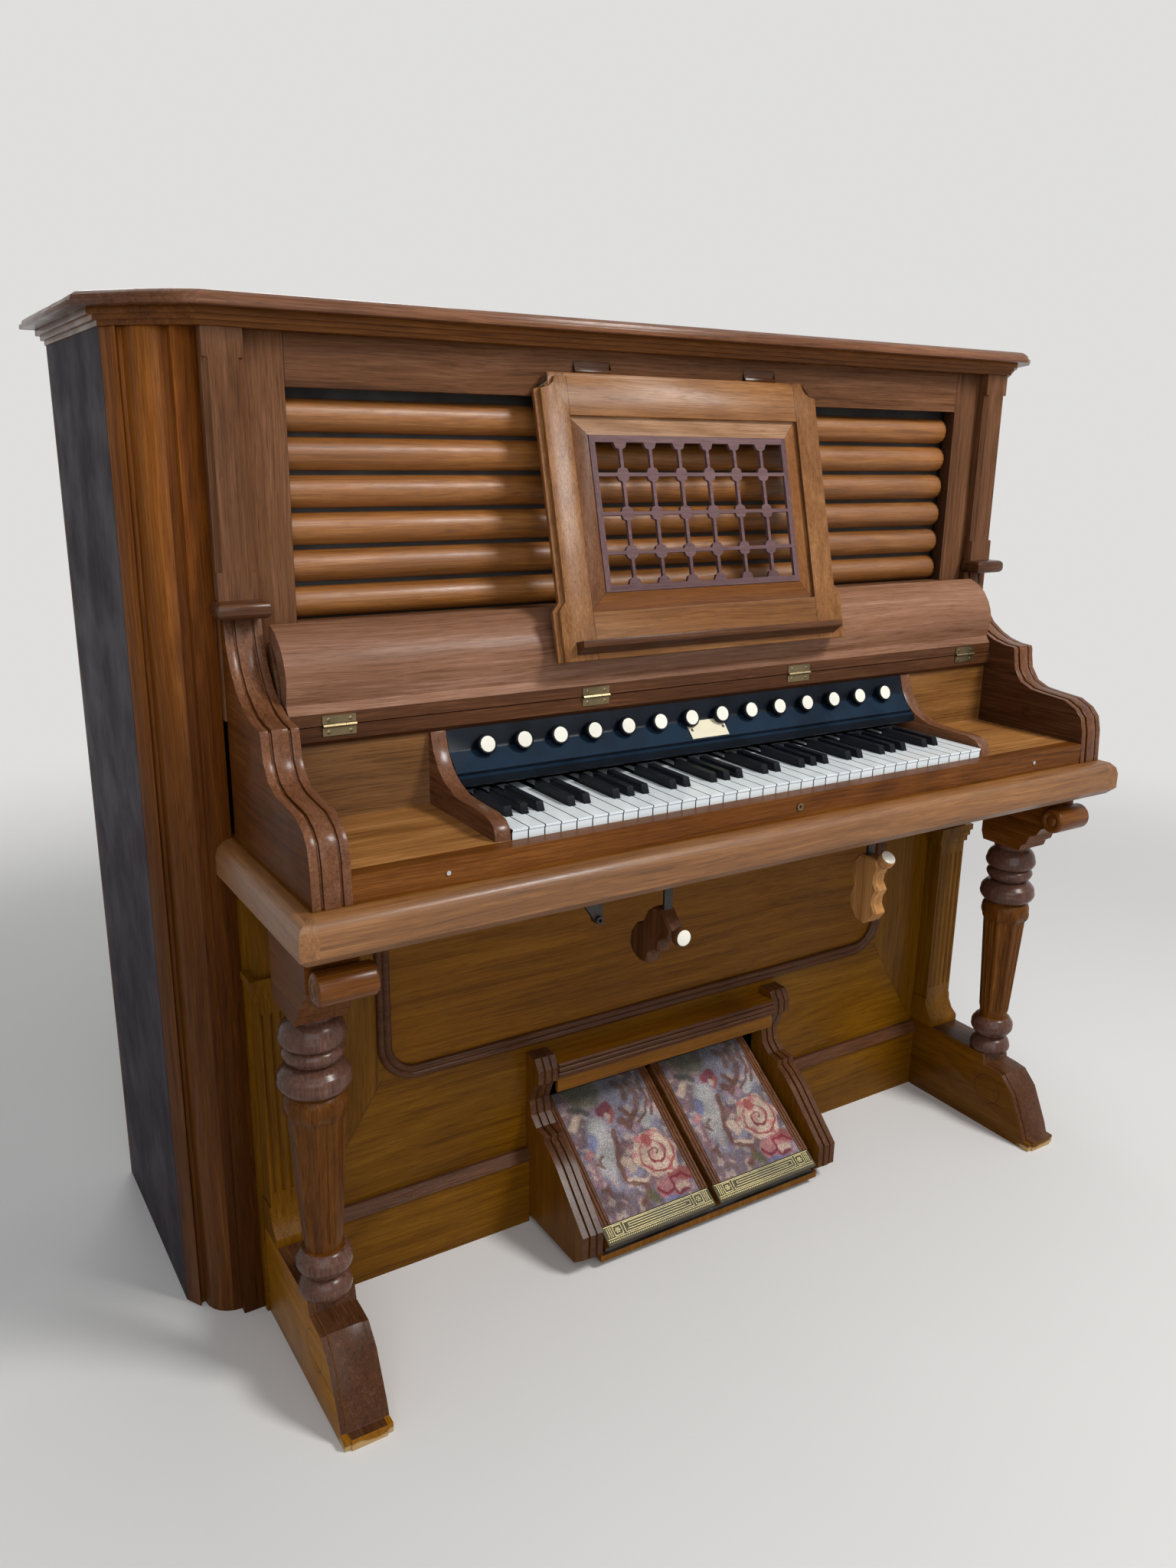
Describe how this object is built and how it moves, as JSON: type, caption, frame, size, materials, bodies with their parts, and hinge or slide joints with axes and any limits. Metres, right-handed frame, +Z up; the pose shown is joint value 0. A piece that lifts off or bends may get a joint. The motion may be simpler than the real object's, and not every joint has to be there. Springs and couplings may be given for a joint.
{
  "type": "pump organ",
  "caption": "Pump organ with a keyboard, drawstops, folding fallboard, lattice music desk, two knee levers and two foot treadles in a carved wooden case.",
  "frame": {"origin": "centre of the bounding box on the floor", "axes": "+X to the right of the player, +Y away from the player, +Z up"},
  "size_m": [1.63, 0.78, 1.389],
  "materials": {
    "black": "polished black",
    "cloth": "plain",
    "ebony": "glossy",
    "ivory": "glossy",
    "rose": "satin varnish",
    "walnut": "satin varnish"
  },
  "bodies": {
    "case": {"case_shell": "walnut", "corner_post_left": "walnut", "corner_post_right": "walnut", "cornice_moulding": "walnut", "lid": "walnut", "louvres": "walnut", "upper_frame": "walnut", "arm_left": "rose", "arm_right": "rose", "key_bed": "walnut", "bed_nosing": "walnut", "key_slip": "walnut", "key_block_left": "walnut", "key_block_right": "walnut", "hinge_rail": "walnut", "stop_board": "black", "bracket_left": "walnut", "bracket_right": "walnut", "column_left": "walnut", "column_right": "walnut", "foot_left": "walnut", "foot_right": "walnut", "knee_panel": "walnut", "pedal_box": "walnut", "wind_chest": "cloth", "keyboard": "ivory"},
    "fallboard": {"fallboard": "rose"},
    "fallboard leaf": {"fallboard_leaf": "rose"},
    "music desk": {"music_desk": "walnut", "desk_lattice": "rose"},
    "left treadle": {"treadle_left": "walnut"},
    "right treadle": {"treadle_right": "walnut"},
    "left knee lever": {"knee_lever_left": "walnut"},
    "right knee lever": {"knee_lever_right": "walnut"},
    "key F": {"key_F": "ivory"},
    "key F sharp": {"key_F_sharp": "ebony"},
    "key G": {"key_G": "ivory"},
    "key G sharp": {"key_G_sharp": "ebony"},
    "key A": {"key_A": "ivory"},
    "key A sharp": {"key_A_sharp": "ebony"},
    "key B": {"key_B": "ivory"},
    "key C": {"key_C": "ivory"},
    "key C sharp": {"key_C_sharp": "ebony"},
    "key D": {"key_D": "ivory"},
    "key D sharp": {"key_D_sharp": "ebony"},
    "key E": {"key_E": "ivory"},
    "stop 1": {"stop_1": "ebony"},
    "stop 2": {"stop_2": "ebony"},
    "stop 3": {"stop_3": "ebony"},
    "stop 4": {"stop_4": "ebony"},
    "stop 5": {"stop_5": "ebony"},
    "stop 6": {"stop_6": "ebony"},
    "stop 7": {"stop_7": "ebony"},
    "stop 8": {"stop_8": "ebony"},
    "stop 9": {"stop_9": "ebony"},
    "stop 10": {"stop_10": "ebony"},
    "stop 11": {"stop_11": "ebony"},
    "stop 12": {"stop_12": "ebony"},
    "stop 13": {"stop_13": "ebony"},
    "stop 14": {"stop_14": "ebony"}
  },
  "joints": [
    {"name": "fallboard hinge", "type": "hinge", "parent": "case", "child": "fallboard", "pos_m": [0, -0.1618, 0.884], "axis": [1, 0, 0], "range_deg": [0, 156]},
    {"name": "leaf hinge", "type": "hinge", "parent": "fallboard", "child": "fallboard leaf", "pos_m": [0, -0.0958, 0.988], "axis": [1, 0, 0], "range_deg": [0, 141]},
    {"name": "desk hinge", "type": "hinge", "parent": "case", "child": "music desk", "pos_m": [0, -0.0756, 1.3236], "axis": [-1, 0, 0], "range_deg": [0, 40]},
    {"name": "left treadle hinge", "type": "hinge", "parent": "case", "child": "left treadle", "pos_m": [-0.108, -0.243, 0.027], "axis": [-1, 0, 0], "range_deg": [0, 15], "stiffness_Nm_per_rad": 8, "springref_deg": -17.19},
    {"name": "right treadle hinge", "type": "hinge", "parent": "case", "child": "right treadle", "pos_m": [0.108, -0.243, 0.027], "axis": [-1, 0, 0], "range_deg": [0, 15], "stiffness_Nm_per_rad": 8, "springref_deg": -17.19},
    {"name": "left knee lever pin", "type": "hinge", "parent": "case", "child": "left knee lever", "pos_m": [-0.152, -0.297, 0.647], "axis": [0, 1, 0], "range_deg": [0, 35], "stiffness_Nm_per_rad": 0.6, "springref_deg": -5.73},
    {"name": "right knee lever pin", "type": "hinge", "parent": "case", "child": "right knee lever", "pos_m": [0.238, -0.297, 0.647], "axis": [0, -1, 0], "range_deg": [0, 35], "stiffness_Nm_per_rad": 0.6, "springref_deg": -5.73},
    {"name": "key F pivot", "type": "hinge", "parent": "case", "child": "key F", "pos_m": [-0.0819, -0.165, 0.752], "axis": [1, 0, 0], "range_deg": [0, 2.9], "stiffness_Nm_per_rad": 0.3, "springref_deg": -17.19},
    {"name": "key F sharp pivot", "type": "hinge", "parent": "case", "child": "key F sharp", "pos_m": [-0.0702, -0.165, 0.752], "axis": [1, 0, 0], "range_deg": [0, 2.9], "stiffness_Nm_per_rad": 0.3, "springref_deg": -17.19},
    {"name": "key G pivot", "type": "hinge", "parent": "case", "child": "key G", "pos_m": [-0.0585, -0.165, 0.752], "axis": [1, 0, 0], "range_deg": [0, 2.9], "stiffness_Nm_per_rad": 0.3, "springref_deg": -17.19},
    {"name": "key G sharp pivot", "type": "hinge", "parent": "case", "child": "key G sharp", "pos_m": [-0.0468, -0.165, 0.752], "axis": [1, 0, 0], "range_deg": [0, 2.9], "stiffness_Nm_per_rad": 0.3, "springref_deg": -17.19},
    {"name": "key A pivot", "type": "hinge", "parent": "case", "child": "key A", "pos_m": [-0.0351, -0.165, 0.752], "axis": [1, 0, 0], "range_deg": [0, 2.9], "stiffness_Nm_per_rad": 0.3, "springref_deg": -17.19},
    {"name": "key A sharp pivot", "type": "hinge", "parent": "case", "child": "key A sharp", "pos_m": [-0.0234, -0.165, 0.752], "axis": [1, 0, 0], "range_deg": [0, 2.9], "stiffness_Nm_per_rad": 0.3, "springref_deg": -17.19},
    {"name": "key B pivot", "type": "hinge", "parent": "case", "child": "key B", "pos_m": [-0.0117, -0.165, 0.752], "axis": [1, 0, 0], "range_deg": [0, 2.9], "stiffness_Nm_per_rad": 0.3, "springref_deg": -17.19},
    {"name": "key C pivot", "type": "hinge", "parent": "case", "child": "key C", "pos_m": [0.0117, -0.165, 0.752], "axis": [1, 0, 0], "range_deg": [0, 2.9], "stiffness_Nm_per_rad": 0.3, "springref_deg": -17.19},
    {"name": "key C sharp pivot", "type": "hinge", "parent": "case", "child": "key C sharp", "pos_m": [0.0234, -0.165, 0.752], "axis": [1, 0, 0], "range_deg": [0, 2.9], "stiffness_Nm_per_rad": 0.3, "springref_deg": -17.19},
    {"name": "key D pivot", "type": "hinge", "parent": "case", "child": "key D", "pos_m": [0.0351, -0.165, 0.752], "axis": [1, 0, 0], "range_deg": [0, 2.9], "stiffness_Nm_per_rad": 0.3, "springref_deg": -17.19},
    {"name": "key D sharp pivot", "type": "hinge", "parent": "case", "child": "key D sharp", "pos_m": [0.0468, -0.165, 0.752], "axis": [1, 0, 0], "range_deg": [0, 2.9], "stiffness_Nm_per_rad": 0.3, "springref_deg": -17.19},
    {"name": "key E pivot", "type": "hinge", "parent": "case", "child": "key E", "pos_m": [0.0585, -0.165, 0.752], "axis": [1, 0, 0], "range_deg": [0, 2.9], "stiffness_Nm_per_rad": 0.3, "springref_deg": -17.19},
    {"name": "stop 1 slide", "type": "slide", "parent": "case", "child": "stop 1", "axis": [0, -0.9451, 0.3269], "range_m": [0, 0.012]},
    {"name": "stop 2 slide", "type": "slide", "parent": "case", "child": "stop 2", "axis": [0, -0.9451, 0.3269], "range_m": [0, 0.012]},
    {"name": "stop 3 slide", "type": "slide", "parent": "case", "child": "stop 3", "axis": [0, -0.9451, 0.3269], "range_m": [0, 0.012]},
    {"name": "stop 4 slide", "type": "slide", "parent": "case", "child": "stop 4", "axis": [0, -0.9451, 0.3269], "range_m": [0, 0.012]},
    {"name": "stop 5 slide", "type": "slide", "parent": "case", "child": "stop 5", "axis": [0, -0.9451, 0.3269], "range_m": [0, 0.012]},
    {"name": "stop 6 slide", "type": "slide", "parent": "case", "child": "stop 6", "axis": [0, -0.9451, 0.3269], "range_m": [0, 0.012]},
    {"name": "stop 7 slide", "type": "slide", "parent": "case", "child": "stop 7", "axis": [0, -0.9451, 0.3269], "range_m": [0, 0.012]},
    {"name": "stop 8 slide", "type": "slide", "parent": "case", "child": "stop 8", "axis": [0, -0.9451, 0.3269], "range_m": [0, 0.012]},
    {"name": "stop 9 slide", "type": "slide", "parent": "case", "child": "stop 9", "axis": [0, -0.9451, 0.3269], "range_m": [0, 0.012]},
    {"name": "stop 10 slide", "type": "slide", "parent": "case", "child": "stop 10", "axis": [0, -0.9451, 0.3269], "range_m": [0, 0.012]},
    {"name": "stop 11 slide", "type": "slide", "parent": "case", "child": "stop 11", "axis": [0, -0.9451, 0.3269], "range_m": [0, 0.012]},
    {"name": "stop 12 slide", "type": "slide", "parent": "case", "child": "stop 12", "axis": [0, -0.9451, 0.3269], "range_m": [0, 0.012]},
    {"name": "stop 13 slide", "type": "slide", "parent": "case", "child": "stop 13", "axis": [0, -0.9451, 0.3269], "range_m": [0, 0.012]},
    {"name": "stop 14 slide", "type": "slide", "parent": "case", "child": "stop 14", "axis": [0, -0.9451, 0.3269], "range_m": [0, 0.012]}
  ],
  "couplings": [
    {"joint": "leaf hinge", "follows": "fallboard hinge", "ratio": 0.9},
    {"joint": "desk hinge", "follows": "fallboard hinge", "ratio": 0.25}
  ]
}
